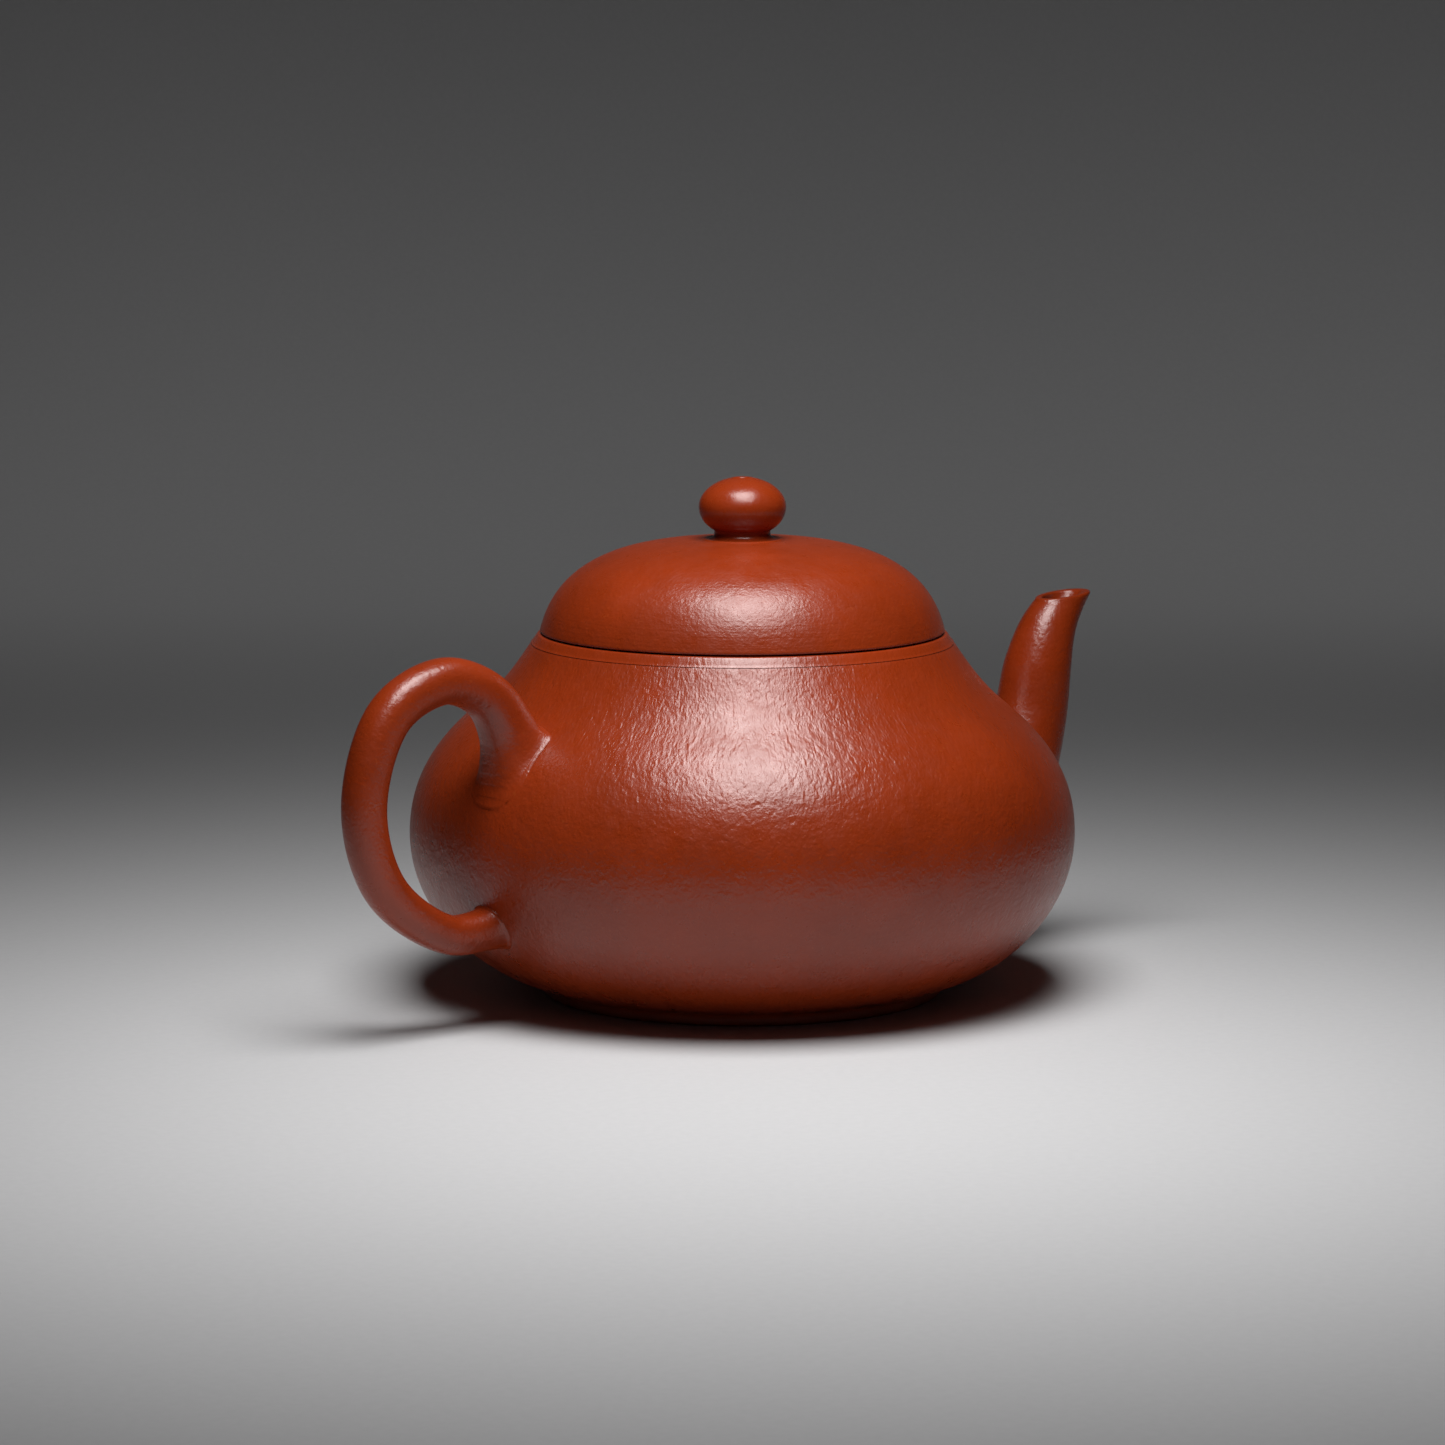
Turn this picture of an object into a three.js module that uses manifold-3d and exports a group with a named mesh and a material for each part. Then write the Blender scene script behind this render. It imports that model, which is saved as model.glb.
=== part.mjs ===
// A small red-clay teapot: a squat pear-shaped body on a low foot ring, an upright one-bend spout,
// an ear-shaped handle, and a domed lid with a flattened ball knob pierced by a vent hole.
//
// It is built from the same separately formed pieces as the hand-built pot: a beaten wall closed by
// a base disc and a top disc, a foot ring, a mouth ring, a spout with a pierced ball strainer behind
// it, a rolled handle, and a lid made of a dome, a flat seat ring, a deep flange and a knob.
//
// Millimetres, +Z up. The origin is under the middle of the whole pot, from the spout's tip to the
// handle's back, on the surface it stands on. The spout points along +X and the handle along -X;
// the pot mirrors about the XZ plane. Radii and x values are measured from the turning axis, which
// stands AXIS_X from the origin because the handle reaches further out than the spout.

import * as THREE from "three";
import { mergeVertices } from "three/addons/utils/BufferGeometryUtils.js";
import Module from "manifold-3d";

const wasm = await Module();
wasm.setup();

// ---------------------------------------------------------------- driving dimensions

const AXIS_X = 0.71; // where the turning axis stands, half the handle's extra reach
const BELLY_R = 41.5; // widest radius of the body
const BELLY_Z = 20; // height of the widest circle
const FOOT_R = 25; // outer radius of the foot ring
const FOOT_H = 1.5;
const FOOT_W = 3.2; // width of the foot ring at its root
const FOOT_EDGE = 0.4; // bevel on the foot ring's lower edges, and the taper of its inner face
const RIM_R = 25.4; // outer radius of the mouth ring at its top
const RIM_Z = 45; // level of the lid's seat; the spout's tip and the handle's top are near it
const RIM_EASING = 0.15; // bevel on the mouth ring's upper edge
const MOUTH_R = 19.6; // clear radius of the mouth
const WALL = 2.3; // thickness of the beaten wall
const DISC = 2.2; // thickness of the base disc
const DISC_DOMING = 0.5; // rise of the base disc at its middle
const MOUTH_RING_H = 1.2; // the smooth band seen under the lid

const LID_R = 25.05; // outer radius of the lid at its seat
const LID_H = 11.55; // rise of the dome above the rim
const SEAT_GAP = 0.05; // film of air between two unglazed seats
const SEAT_RING_H = 1.1;
const FLANGE_CLEARANCE = 0.4; // radial, between the flange and the mouth
const FLANGE_T = 2;
const FLANGE_DEPTH = 8;
const FLANGE_EDGE = 0.5; // bevel on the flange's lower edges
const KNOB_R = 5.42;
const KNOB_HALF_H = 3.75;
const KNOB_NECK_R = 3.5;
const KNOB_FOOT_R = 3.6; // the neck just above its flare on to the dome
const KNOB_FOOT_H = 0.6;
const KNOB_TOP_Z = 64.3;
const VENT_R = 0.9; // vent hole through the knob and the dome

const LUTE_GAP = 0.3; // slip line between two luted pieces that meet at an angle

// ---------------------------------------------------------------- facet counts

const ROUND = 48; // sides of the large lathed pieces
const KNOB_ROUND = 32;
const TUBE_SIDES = 14;

// ---------------------------------------------------------------- helpers

const v2 = (r, z) => new THREE.Vector2(r, z);

// Lathes a closed profile of (radius, height) points, outer side upwards, about the Z axis.
function lathe(profile, sides = ROUND) {
  const onAxis = profile[0].x === 0;
  const loop = onAxis ? profile : [...profile, profile[0]];
  return new THREE.LatheGeometry(loop, sides).rotateX(Math.PI / 2);
}

// A flat ring, as a closed profile.
const ringProfile = (inner, outer, low, high) => [
  v2(inner, low),
  v2(outer, low),
  v2(outer, high),
  v2(inner, high),
];

// Points of a path moved sideways to its left by a distance; the path runs bottom to top.
function offsetPoints(path, count, distance) {
  return Array.from({ length: count + 1 }, (_, i) => {
    const point = path.getPoint(i / count);
    const tangent = path.getTangent(i / count);
    return v2(point.x - tangent.y * distance, point.y + tangent.x * distance);
  });
}

// A closed tube whose elliptical section changes along a curve in the XZ plane. The curve's points
// are (x, half thickness, z); widthRatio is the half width across the plane over the half thickness.
function tube(curve, steps, widthRatio, sides = TUBE_SIDES) {
  const positions = [];
  const index = [];
  for (let i = 0; i <= steps; i += 1) {
    const at = curve.getPoint(i / steps); // at.y holds the half thickness
    const tangent = curve.getTangent(i / steps);
    const length = Math.hypot(tangent.x, tangent.z);
    const normal = { x: -tangent.z / length, z: tangent.x / length };
    for (let k = 0; k < sides; k += 1) {
      const angle = (2 * Math.PI * k) / sides;
      const inPlane = at.y * Math.cos(angle);
      const across = at.y * widthRatio(i / steps) * Math.sin(angle);
      positions.push(at.x + normal.x * inPlane, across, at.z + normal.z * inPlane);
    }
  }
  for (let i = 0; i < steps; i += 1) {
    for (let k = 0; k < sides; k += 1) {
      const a = i * sides + k;
      const b = i * sides + ((k + 1) % sides);
      index.push(a, b + sides, b, a, a + sides, b + sides);
    }
  }
  for (const ring of [0, steps]) {
    const centre = curve.getPoint(ring / steps);
    const hub = positions.length / 3;
    positions.push(centre.x, 0, centre.z);
    for (let k = 0; k < sides; k += 1) {
      const a = ring * sides + k;
      const b = ring * sides + ((k + 1) % sides);
      index.push(hub, ring === 0 ? a : b, ring === 0 ? b : a);
    }
  }
  return new THREE.BufferGeometry()
    .setAttribute("position", new THREE.Float32BufferAttribute(positions, 3))
    .setIndex(index);
}

// A geometry as a solid that can be joined and cut.
function solid(geometry) {
  const bare = geometry.clone();
  bare.deleteAttribute("normal");
  bare.deleteAttribute("uv");
  const merged = mergeVertices(bare, 1e-4);
  const triangles = [];
  const source = merged.index.array;
  for (let i = 0; i < source.length; i += 3) {
    const [a, b, c] = [source[i], source[i + 1], source[i + 2]];
    if (a !== b && b !== c && c !== a) triangles.push(a, b, c);
  }
  const mesh = new wasm.Mesh({
    numProp: 3,
    vertProperties: new Float32Array(merged.attributes.position.array),
    triVerts: new Uint32Array(triangles),
  });
  return new wasm.Manifold(mesh);
}

// A solid back as a geometry.
function geometryOf(shape) {
  const mesh = shape.getMesh();
  return new THREE.BufferGeometry()
    .setAttribute("position", new THREE.BufferAttribute(new Float32Array(mesh.vertProperties), 3))
    .setIndex(new THREE.BufferAttribute(new Uint32Array(mesh.triVerts), 1));
}

// ---------------------------------------------------------------- the body's outline

// Outer outline of the pot from the foot to the rim: a full lower bowl, a round shoulder, and a
// slightly hollow neck that leads into the lid.
const SHOULDER = v2(32.6, 36.15);
const SHOULDER_SLOPE = v2(-0.783, 0.622);
const RIM_SLOPE = v2(-0.57, 0.82);
const along = (point, direction, distance) => point.clone().addScaledVector(direction, distance);

// How strongly the curves hold their direction at each joint.
const FOOT_PULL = v2(9, 1.5);
const BELLY_PULL_DOWN = 8.6;
const BELLY_PULL_UP = 7.1;
const SHOULDER_PULL_DOWN = 7;
const SHOULDER_PULL_UP = 4;
const RIM_PULL = 3.2;

const bowl = new THREE.CubicBezierCurve(
  v2(FOOT_R, FOOT_H),
  v2(FOOT_R, FOOT_H).add(FOOT_PULL),
  v2(BELLY_R, BELLY_Z - BELLY_PULL_DOWN),
  v2(BELLY_R, BELLY_Z),
);
const shoulder = new THREE.CubicBezierCurve(
  v2(BELLY_R, BELLY_Z),
  v2(BELLY_R, BELLY_Z + BELLY_PULL_UP),
  along(SHOULDER, SHOULDER_SLOPE, -SHOULDER_PULL_DOWN),
  SHOULDER,
);
const neck = new THREE.CubicBezierCurve(
  SHOULDER,
  along(SHOULDER, SHOULDER_SLOPE, SHOULDER_PULL_UP),
  along(v2(RIM_R, RIM_Z), RIM_SLOPE, -RIM_PULL),
  v2(RIM_R, RIM_Z),
);

const BOWL_STEPS = 7;
const SHOULDER_STEPS = 6;
const NECK_STEPS = 4;

// The neck curve's parameter where it passes a height, found by halving.
function neckAt(height) {
  let low = 0;
  let high = 1;
  for (let i = 0; i < 40; i += 1) {
    const middle = (low + high) / 2;
    if (neck.getPoint(middle).y < height) low = middle;
    else high = middle;
  }
  return low;
}

const CREASE_Z = RIM_Z - MOUTH_RING_H; // where the wall ends and the mouth ring begins
const creaseT = neckAt(CREASE_Z);
const CREASE = neck.getPoint(creaseT);

// Points of the wall's outer or inner face, moved inwards by a depth.
function wallFace(depth) {
  const lower = offsetPoints(bowl, BOWL_STEPS, depth);
  const middle = offsetPoints(shoulder, SHOULDER_STEPS, depth).slice(1);
  const upper = Array.from({ length: NECK_STEPS }, (_, i) => {
    const t = (creaseT * (i + 1)) / NECK_STEPS;
    const point = neck.getPoint(t);
    const tangent = neck.getTangent(t);
    return v2(point.x - tangent.y * depth, point.y + tangent.x * depth);
  });
  return [...lower, ...middle, ...upper];
}

// ---------------------------------------------------------------- spout and handle lines

// Spout centreline as (x, half thickness, z): low root on the belly, upright, leaning out at the tip.
const spoutLine = new THREE.CatmullRomCurve3(
  [
    [33, 8.4, 15],
    [40.6, 7.3, 18.4],
    [45.9, 5.9, 23.4],
    [49.1, 4.85, 30],
    [50.5, 4.4, 36.5],
    [52.1, 3.75, 41],
    [54.5, 3, 44.4],
    [57.7, 2.45, 48],
  ].map((p) => new THREE.Vector3(...p)),
);
// The channel inside it, set back from the outer lip so that the lip ends in a solid beak.
const spoutChannel = new THREE.CatmullRomCurve3(
  [
    [33, 6.8, 15],
    [40.6, 5.7, 18.4],
    [45.9, 4.4, 23.4],
    [49.1, 3.4, 30],
    [50.4, 3, 36.5],
    [51.9, 2.5, 41],
    [54, 2.1, 44.4],
    [56.9, 1.9, 48],
  ].map((p) => new THREE.Vector3(...p)),
);
const SPOUT_STEPS = 18;
// The straight cut of the spout's lip rises a little towards the beak.
const LIP_X = 55.3; // middle of the lip
const LIP_Z = RIM_Z + 0.75;
const LIP_TILT = THREE.MathUtils.degToRad(5.7);

const PASSAGE_R = 5.4; // hole through the body wall behind the spout
const PASSAGE_Z = 18.2;
const PASSAGE_START_X = 35.5; // inside the wall's inner face
const PASSAGE_SIDES = 20;

const STRAINER_X = 38.2; // centre of the ball strainer
const STRAINER_R = PASSAGE_R + 1.7;
const STRAINER_T = 1.2;
const STRAINER_HOLE_R = 0.75;
// Each ring of holes as [count, angle from the ball's middle in degrees].
const STRAINER_RINGS = [
  [1, 0],
  [6, 26],
  [10, 50],
];

// Handle centreline as (x, half thickness, z): flared where it is pressed on at the shoulder,
// thinnest at the tail.
const handleLine = new THREE.CatmullRomCurve3(
  [
    [-33.2, 5.4, 26],
    [-35.2, 4.1, 31.3],
    [-37, 3.3, 36.3],
    [-40.2, 2.95, 40.5],
    [-46.5, 2.85, 42.65],
    [-54.4, 2.75, 39.2],
    [-58.2, 2.65, 28.7],
    [-55.2, 2.6, 18.6],
    [-46.2, 2.45, 12.3],
    [-40.5, 2.6, 12.2],
    [-35.5, 3, 12.9],
  ].map((p) => new THREE.Vector3(...p)),
);
const HANDLE_STEPS = 34;
const HANDLE_WIDTH = 0.96; // width over thickness along the arm
const HANDLE_FLARE = 0.1; // added to it at the shoulder
const HANDLE_FLARE_SHARE = 1 / 8; // share of the arm over which that fades out

// ---------------------------------------------------------------- the pot's pieces

// Everything inside the pot's outer face, grown outwards by a gap: it trims what is luted on.
function potEnvelope(gap) {
  const face = wallFace(-gap);
  return solid(lathe([v2(0, face[0].y), ...face, v2(0, face.at(-1).y)]));
}

// The space inside the wall, shrunk by a gap: it trims what is luted on inside.
function cavityEnvelope(gap) {
  const face = wallFace(WALL + gap);
  return solid(lathe([v2(0, face[0].y), ...face, v2(0, face.at(-1).y)]));
}

const BASE_TOP = FOOT_H + DISC;
const BASE_R = FOOT_R - FOOT_EDGE; // where the wall and the base disc meet

function bodyWall() {
  const outer = wallFace(0);
  const inner = wallFace(WALL).filter((p) => p.x > FOOT_R || p.y > BELLY_Z);
  const topInner = v2(inner.at(-1).x, CREASE_Z);
  const profile = [
    v2(BASE_R, FOOT_H),
    ...outer,
    topInner,
    ...inner.slice(0, -1).reverse(),
    v2(BASE_R, BASE_TOP),
  ];
  const passage = new THREE.CylinderGeometry(PASSAGE_R, PASSAGE_R, 2 * BELLY_R, PASSAGE_SIDES)
    .rotateZ(Math.PI / 2)
    .translate(PASSAGE_START_X + BELLY_R, 0, PASSAGE_Z);
  return geometryOf(solid(lathe(profile)).subtract(solid(passage)));
}

const WALL_TOP_INNER_R = wallFace(WALL).at(-1).x;

const baseDisc = () =>
  lathe([
    v2(0, FOOT_H + DISC_DOMING),
    v2(FOOT_R - FOOT_W, FOOT_H),
    v2(BASE_R, FOOT_H),
    v2(BASE_R, BASE_TOP),
    v2(0, BASE_TOP + DISC_DOMING),
  ]);

const footRing = () =>
  lathe([
    v2(FOOT_R - FOOT_W + FOOT_EDGE, FOOT_EDGE),
    v2(FOOT_R - FOOT_W + 2 * FOOT_EDGE, 0),
    v2(FOOT_R - FOOT_EDGE, 0),
    v2(FOOT_R, FOOT_EDGE),
    v2(FOOT_R, FOOT_H),
    v2(FOOT_R - FOOT_W, FOOT_H),
  ]);

const TOP_DISC_T = 1.6;

const topDisc = () =>
  lathe(ringProfile(MOUTH_R, WALL_TOP_INNER_R - LUTE_GAP, CREASE_Z - TOP_DISC_T, CREASE_Z));

const mouthRing = () =>
  lathe([
    v2(MOUTH_R, CREASE_Z),
    CREASE,
    neck.getPoint((creaseT + 1) / 2),
    v2(RIM_R - RIM_EASING, RIM_Z),
    v2(MOUTH_R, RIM_Z),
  ]);

function spout() {
  const round = () => 1;
  const outer = solid(tube(spoutLine, SPOUT_STEPS, round));
  const bore = solid(tube(spoutChannel, SPOUT_STEPS, round));
  const above = new THREE.BoxGeometry(BELLY_R, BELLY_R, BELLY_R)
    .translate(0, 0, BELLY_R / 2)
    .rotateY(-LIP_TILT)
    .translate(LIP_X, 0, LIP_Z);
  return geometryOf(outer.subtract(bore).subtract(solid(above)).subtract(potEnvelope(LUTE_GAP)));
}

// A pierced half ball behind the spout, with a hole at its middle and rings of holes round it.
function ballStrainer() {
  const ball = (r) => solid(new THREE.SphereGeometry(r, 20, 12).translate(STRAINER_X, 0, PASSAGE_Z));
  const shell = ball(STRAINER_R).subtract(ball(STRAINER_R - STRAINER_T));
  let shape = shell.intersect(cavityEnvelope(LUTE_GAP));
  for (const [count, tilt] of STRAINER_RINGS) {
    for (let i = 0; i < count; i += 1) {
      const hole = new THREE.CylinderGeometry(STRAINER_HOLE_R, STRAINER_HOLE_R, STRAINER_R * 2, 6)
        .translate(0, -STRAINER_R, 0)
        .rotateZ(-Math.PI / 2)
        .rotateY(THREE.MathUtils.degToRad(tilt))
        .rotateX((2 * Math.PI * i) / count)
        .translate(STRAINER_X, 0, PASSAGE_Z);
      shape = shape.subtract(solid(hole));
    }
  }
  return geometryOf(shape);
}

function handle() {
  const flared = (t) => HANDLE_WIDTH + HANDLE_FLARE * Math.max(0, 1 - t / HANDLE_FLARE_SHARE);
  return geometryOf(solid(tube(handleLine, HANDLE_STEPS, flared)).subtract(potEnvelope(LUTE_GAP)));
}

// ---------------------------------------------------------------- the lid's pieces

const SEAT_Z = RIM_Z + SEAT_GAP;
const DOME_Z = SEAT_Z + SEAT_RING_H; // where the dome stands on the seat ring
const DOME_TOP = RIM_Z + LID_H;
const DOME_T = 2;
const DOME_EDGE_PULL = v2(-0.9, 4);
const DOME_TOP_PULL_R = 20.2;
const KNOB_SEAT_R = 4.4; // small flat on the dome that the knob is luted to

// Dome outline from its foot to the flat under the knob.
const dome = new THREE.CubicBezierCurve(
  v2(LID_R, DOME_Z),
  v2(LID_R, DOME_Z).add(DOME_EDGE_PULL),
  v2(DOME_TOP_PULL_R, DOME_TOP),
  v2(KNOB_SEAT_R, DOME_TOP),
);
const DOME_STEPS = 9;

function lidDome() {
  const outer = dome.getPoints(DOME_STEPS);
  const inner = offsetPoints(dome, DOME_STEPS, DOME_T).filter((p) => p.y > DOME_Z);
  return lathe([
    v2(VENT_R, DOME_TOP - DOME_T),
    ...inner.reverse(),
    v2(inner.at(-1).x, DOME_Z),
    ...outer,
    v2(VENT_R, DOME_TOP),
  ]);
}

const FLANGE_R = MOUTH_R - FLANGE_CLEARANCE;

const lidSeatRing = () => lathe(ringProfile(FLANGE_R - FLANGE_T, LID_R, SEAT_Z, DOME_Z));

const FLANGE_LOW = SEAT_Z - FLANGE_DEPTH;

const lidFlange = () =>
  lathe([
    v2(FLANGE_R - FLANGE_T, FLANGE_LOW + FLANGE_EDGE),
    v2(FLANGE_R - FLANGE_T + FLANGE_EDGE, FLANGE_LOW),
    v2(FLANGE_R - FLANGE_EDGE, FLANGE_LOW),
    v2(FLANGE_R, FLANGE_LOW + FLANGE_EDGE),
    v2(FLANGE_R, SEAT_Z),
    v2(FLANGE_R - FLANGE_T, SEAT_Z),
  ]);

// A flattened ball on a short flared neck, with the vent hole down its axis.
function knob() {
  const centreZ = KNOB_TOP_Z - KNOB_HALF_H;
  const neckAngle = -Math.acos(KNOB_NECK_R / KNOB_R);
  const ballSteps = 10;
  const topAngle = Math.acos(VENT_R / KNOB_R);
  const ball = Array.from({ length: ballSteps + 1 }, (_, i) => {
    const angle = THREE.MathUtils.lerp(neckAngle, topAngle, i / ballSteps);
    return v2(KNOB_R * Math.cos(angle), centreZ + KNOB_HALF_H * Math.sin(angle));
  });
  const foot = [
    v2(VENT_R, DOME_TOP),
    v2(KNOB_SEAT_R, DOME_TOP),
    v2(KNOB_FOOT_R, DOME_TOP + KNOB_FOOT_H),
  ];
  return lathe([...foot, ...ball], KNOB_ROUND);
}

// ---------------------------------------------------------------- assembly

const clay = new THREE.MeshStandardMaterial({ color: 0x9c3a1d, roughness: 0.45, metalness: 0 });
const innerClay = new THREE.MeshStandardMaterial({ color: 0x9a4426, roughness: 0.8, metalness: 0 });

function piece(name, geometry, material = clay) {
  const mesh = new THREE.Mesh(geometry.translate(AXIS_X, 0, 0), material);
  mesh.name = name;
  return mesh;
}

const pot = new THREE.Group();
pot.add(
  piece("body_wall", bodyWall()),
  piece("base_disc", baseDisc(), innerClay),
  piece("foot_ring", footRing()),
  piece("top_disc", topDisc(), innerClay),
  piece("mouth_ring", mouthRing()),
  piece("spout", spout()),
  piece("ball_strainer", ballStrainer(), innerClay),
  piece("handle", handle()),
);

const lid = new THREE.Group();
lid.add(
  piece("lid_dome", lidDome()),
  piece("lid_seat_ring", lidSeatRing(), innerClay),
  piece("lid_flange", lidFlange(), innerClay),
  piece("knob", knob()),
);

const teapot = new THREE.Group();
teapot.add(pot, lid);

export default teapot;
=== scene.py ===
import math

import bmesh
import bpy
import numpy as np
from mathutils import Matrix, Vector

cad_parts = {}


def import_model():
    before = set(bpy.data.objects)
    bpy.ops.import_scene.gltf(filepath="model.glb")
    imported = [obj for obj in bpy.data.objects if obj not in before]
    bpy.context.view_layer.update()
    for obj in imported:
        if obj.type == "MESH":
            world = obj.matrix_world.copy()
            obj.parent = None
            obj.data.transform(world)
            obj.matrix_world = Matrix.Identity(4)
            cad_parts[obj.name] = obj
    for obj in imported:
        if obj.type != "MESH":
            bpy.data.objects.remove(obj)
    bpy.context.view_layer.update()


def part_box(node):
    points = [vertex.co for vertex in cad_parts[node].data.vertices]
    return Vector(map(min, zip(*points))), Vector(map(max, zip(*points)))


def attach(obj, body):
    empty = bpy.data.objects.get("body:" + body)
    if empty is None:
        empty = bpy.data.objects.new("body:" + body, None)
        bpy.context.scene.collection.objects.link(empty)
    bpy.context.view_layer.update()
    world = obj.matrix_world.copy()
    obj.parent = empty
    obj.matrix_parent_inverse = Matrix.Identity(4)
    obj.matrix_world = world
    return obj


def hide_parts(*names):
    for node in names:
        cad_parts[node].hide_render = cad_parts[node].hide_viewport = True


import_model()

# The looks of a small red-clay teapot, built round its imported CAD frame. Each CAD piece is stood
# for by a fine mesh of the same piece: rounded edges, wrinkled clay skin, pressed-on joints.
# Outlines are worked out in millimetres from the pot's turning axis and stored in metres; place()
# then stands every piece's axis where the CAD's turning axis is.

MM = 0.001


# ---------------------------------------------------------------- sizes from the frame


def high(node):
    """The highest corner of a CAD node, in millimetres."""
    return np.array(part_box(node)[1]) / MM


def low(node):
    """The lowest corner of a CAD node, in millimetres."""
    return np.array(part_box(node)[0]) / MM


AXIS_X = (high("foot_ring")[0] + low("foot_ring")[0]) / 2  # where the turning axis stands
BELLY_R = high("body_wall")[1]
FOOT_R = high("foot_ring")[1]
FOOT_H = high("foot_ring")[2]
BASE_TOP = high("base_disc")[2]
CREASE_Z = low("mouth_ring")[2]
RIM_Z = high("mouth_ring")[2]
TOP_DISC_LOW = low("top_disc")[2]
LID_R = high("lid_seat_ring")[1]
SEAT_Z = low("lid_seat_ring")[2]
DOME_Z = high("lid_seat_ring")[2]
DOME_TOP = high("lid_dome")[2]
FLANGE_R = high("lid_flange")[1]
FLANGE_LOW = low("lid_flange")[2]
KNOB_R = high("knob")[1]

BELLY_Z = 20
FOOT_W = 3.2
RIM_R = 25.4
MOUTH_R = 19.6
WALL = 2.3
DISC_DOMING = 0.5
DOME_T = 2
FLANGE_T = 2
KNOB_CREST = 64.3  # the ball's top, before the vent hole opens it
KNOB_HALF_H = 3.75
KNOB_NECK_R = 3.5
KNOB_SEAT_R = 4.4
VENT_R = 0.9
PASSAGE_R = 5.4
PASSAGE_Z = 18.2
LIP_X, LIP_Z, LIP_SLOPE = 55.3, 45.75, 0.1  # middle of the spout's lip and its rise to the beak
SEAM = 0.18  # air between the lid's edge and the mouth ring
DISC_R = FOOT_R - 0.4  # where the base disc ends inside the wall's foot
LID_LOW = SEAT_Z + SEAM - 0.05  # underside of the dome's foot and the seat ring
DOME_FOOT_R = LID_R - 0.7  # where the dome's foot meets the seat ring
STRAINER_X = 38.2
STRAINER_T = 1.2
STRAINER_HOLE_R = 0.75
SHARP_OVER = 48  # degrees between faces that keep a hard edge


# ---------------------------------------------------------------- outlines


def bezier(a, b, c, d, count):
    """Points of a cubic curve from a to d."""
    t = np.linspace(0, 1, count)[:, None]
    a, b, c, d = (np.array(p, float) for p in (a, b, c, d))
    return (1 - t) ** 3 * a + 3 * (1 - t) ** 2 * t * b + 3 * (1 - t) * t**2 * c + t**3 * d


def unit(v):
    return v / np.maximum(np.linalg.norm(v, axis=-1, keepdims=True), 1e-12)


def rounded(corners, arc_points=7):
    """A closed outline from (radius, height, rounding) corners; a rounding of 0 keeps the point."""
    points = []
    for i, (r, z, rounding) in enumerate(corners):
        here = np.array((r, z), float)
        before = np.array(corners[i - 1][:2], float)
        after = np.array(corners[(i + 1) % len(corners)][:2], float)
        if rounding == 0:
            points.append(here)
            continue
        start = here + unit(before - here) * rounding
        end = here + unit(after - here) * rounding
        for t in np.linspace(0, 1, arc_points):
            points.append((1 - t) ** 2 * start + 2 * (1 - t) * t * here + t**2 * end)
    return np.array(points)


def filled(outline, step, closed=True):
    """The same outline with points added so that none are further apart than a step."""
    points = []
    ends = range(len(outline)) if closed else range(len(outline) - 1)
    for i in ends:
        a, b = outline[i], outline[(i + 1) % len(outline)]
        pieces = max(1, math.ceil(np.linalg.norm(b - a) / step))
        points.extend(a + (b - a) * k / pieces for k in range(pieces))
    if not closed:
        points.append(outline[-1])
    return np.array(points)


def plain(points):
    """Points as corners with no rounding."""
    return [(r, z, 0) for r, z in points]


def inwards(curve, distance):
    """A curve that runs from bottom to top on the outside, moved in by a distance."""
    along = unit(np.gradient(curve, axis=0))
    return curve + np.stack([-along[:, 1], along[:, 0]], axis=1) * distance


SHOULDER = np.array((32.6, 36.15))
SHOULDER_SLOPE = np.array((-0.783, 0.622))
RIM = np.array((RIM_R, RIM_Z))
RIM_SLOPE = np.array((-0.57, 0.82))

bowl = bezier(
    (FOOT_R, FOOT_H), (FOOT_R + 9, FOOT_H + 1.5), (BELLY_R, BELLY_Z - 8.6), (BELLY_R, BELLY_Z), 120
)
shoulder = bezier(
    (BELLY_R, BELLY_Z), (BELLY_R, BELLY_Z + 7.1), SHOULDER - 7 * SHOULDER_SLOPE, SHOULDER, 90
)
neck = bezier(SHOULDER, SHOULDER + 4 * SHOULDER_SLOPE, RIM - 3.2 * RIM_SLOPE, RIM, 70)
body_outline = np.vstack([bowl, shoulder[1:], neck[1:]])
for _ in range(60):  # evens out the bend where the curves join
    middle = (body_outline[:-2] + body_outline[2:]) / 2
    body_outline[1:-1] += (middle - body_outline[1:-1]) / 2


def outline_radius(z):
    """The body's outer radius at a height."""
    return np.interp(z, body_outline[:, 1], body_outline[:, 0])


def above_body(points):
    """How far points stand out from the body's outer surface, and the way that surface faces."""
    radius = np.linalg.norm(points[..., :2], axis=-1)
    here = np.stack([radius, points[..., 2]], axis=-1)
    best = np.full(radius.shape, np.inf)
    normal = np.zeros(here.shape)
    for a, b in zip(body_outline[:-1:3], body_outline[3::3]):
        along = b - a
        t = np.clip(((here - a) @ along) / (along @ along), 0, 1)
        gap = here - (a + t[..., None] * along)
        distance = np.linalg.norm(gap, axis=-1)
        nearer = distance < np.abs(best)
        outward = unit(np.array((along[1], -along[0])))
        sign = np.where(gap @ outward >= 0, 1, -1)
        best = np.where(nearer, distance * sign, best)
        normal = np.where(nearer[..., None], outward, normal)
    turn = points[..., :2] / np.maximum(radius, 1e-9)[..., None]
    facing = np.concatenate([turn * normal[..., :1], normal[..., 1:]], axis=-1)
    return best, facing


# ---------------------------------------------------------------- clay relief


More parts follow.
